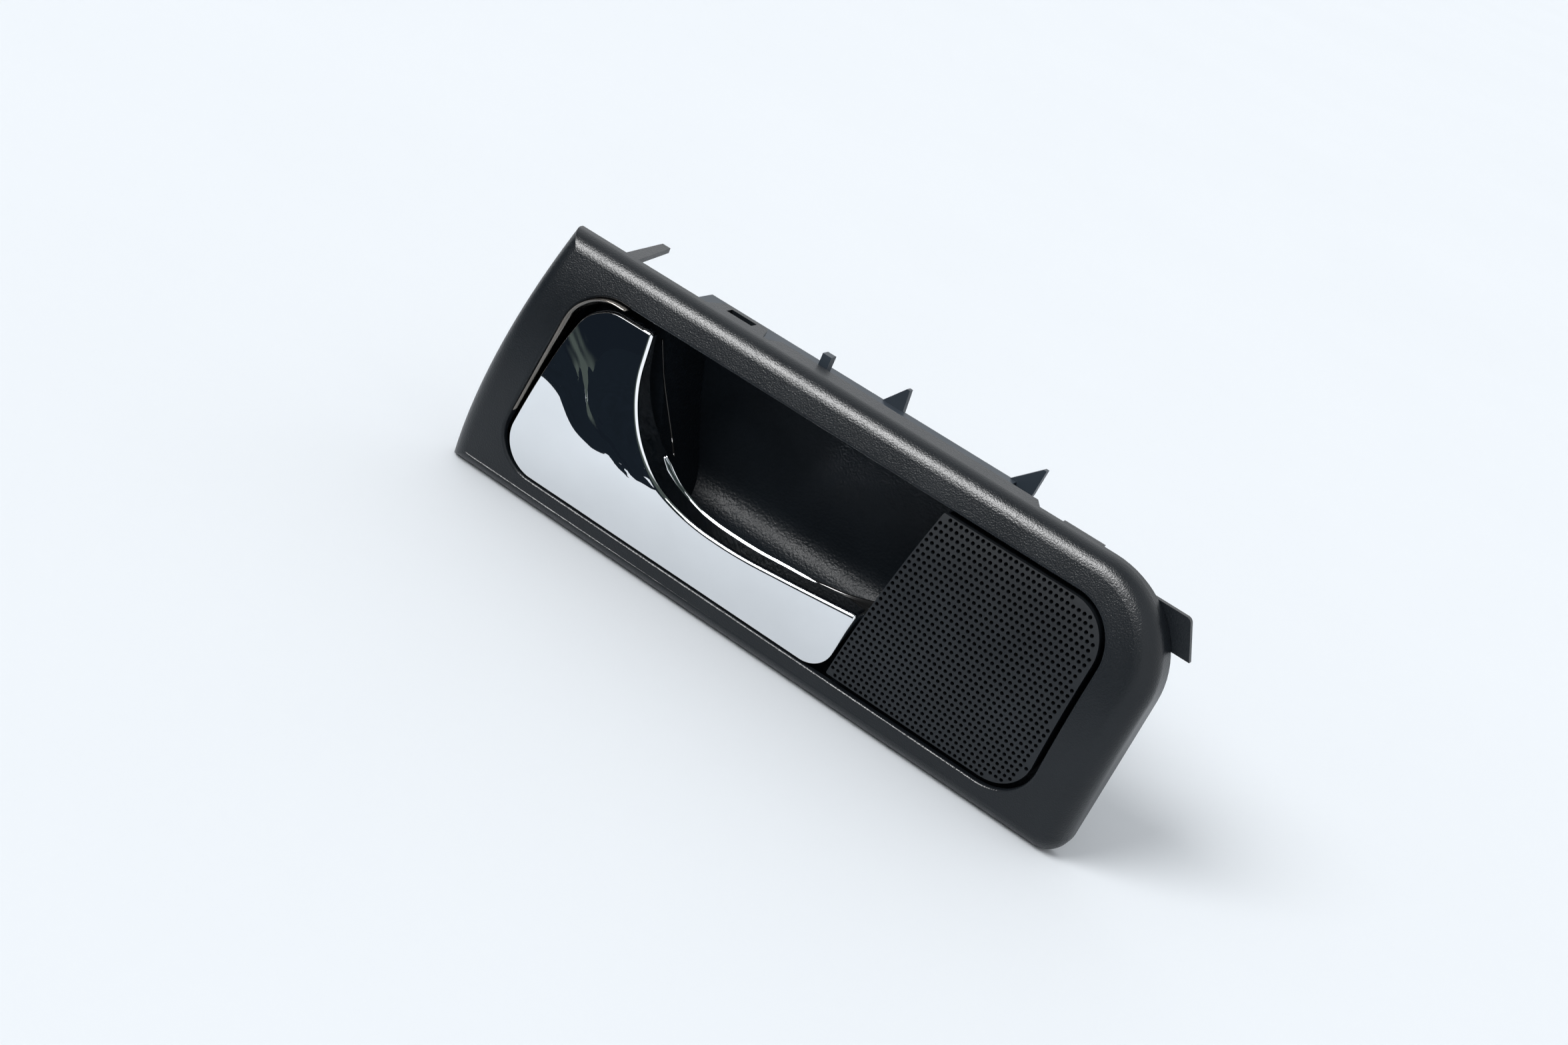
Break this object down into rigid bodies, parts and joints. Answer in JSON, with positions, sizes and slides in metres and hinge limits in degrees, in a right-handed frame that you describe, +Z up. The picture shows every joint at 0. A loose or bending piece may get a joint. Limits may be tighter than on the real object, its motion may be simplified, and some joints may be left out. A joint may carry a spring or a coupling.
{
  "type": "car interior door handle",
  "caption": "Car interior door handle: satin black bezel with a sprung chrome pull lever over a deep finger pocket, beside a perforated grille with a small speaker behind it",
  "frame": {"origin": "middle of the four fixing bosses, on the plane of their ends", "axes": "X along the handle towards the speaker end, Y into the door, Z up the door's face"},
  "size_m": [0.2296, 0.0438, 0.0856],
  "materials": {
    "satin_black": "fine grained satin black moulding",
    "grained_black": "coarse grained black moulding",
    "gloss_black": "polished black moulding",
    "grille_black": "satin black perforated sheet",
    "chrome": "bright chrome plate",
    "screw_steel": "zinc plated screws",
    "bush_bronze": "sintered bronze",
    "pin_steel": "ground steel",
    "spring_steel": "drawn spring wire",
    "stop_rubber": "soft black rubber",
    "gasket_foam": "closed cell foam",
    "frame_plastic": "black moulding",
    "dome_fabric": "coated woven dome",
    "coil_copper": "copper winding",
    "plate_steel": "zinc plated steel",
    "magnet_grey": "sintered magnet",
    "board_brown": "laminated board",
    "terminal_brass": "tinned brass blades"
  },
  "bodies": {
    "housing": {"bezel": "satin_black", "carrier": "grained_black", "lever_surround": "gloss_black", "grille": "grille_black", "pivot_pin": "pin_steel", "pin_clip": "pin_steel", "return_spring": "spring_steel", "bump_stop": "stop_rubber", "carrier_screws": "screw_steel", "tweeter_gasket": "gasket_foam", "tweeter_frame": "frame_plastic", "tweeter_dome": "dome_fabric", "voice_coil": "coil_copper", "tweeter_top_plate": "plate_steel", "tweeter_magnet": "magnet_grey", "tweeter_yoke": "plate_steel", "tweeter_terminal_board": "board_brown", "tweeter_terminals": "terminal_brass", "tweeter_screws": "screw_steel"},
    "pull_lever": {"lever": "chrome", "lever_core": "grained_black", "lever_screws": "screw_steel", "bush_upper": "bush_bronze", "bush_lower": "bush_bronze"}
  },
  "joints": [
    {"name": "lever_hinge", "type": "hinge", "parent": "housing", "child": "pull_lever", "pos_m": [-0.08, -0.0074, 0], "axis": [0, 0, -1], "range_deg": [0, 35], "stiffness_Nm_per_rad": 0.3, "springref_deg": -34.38, "deforming": ["return_spring"]}
  ]
}
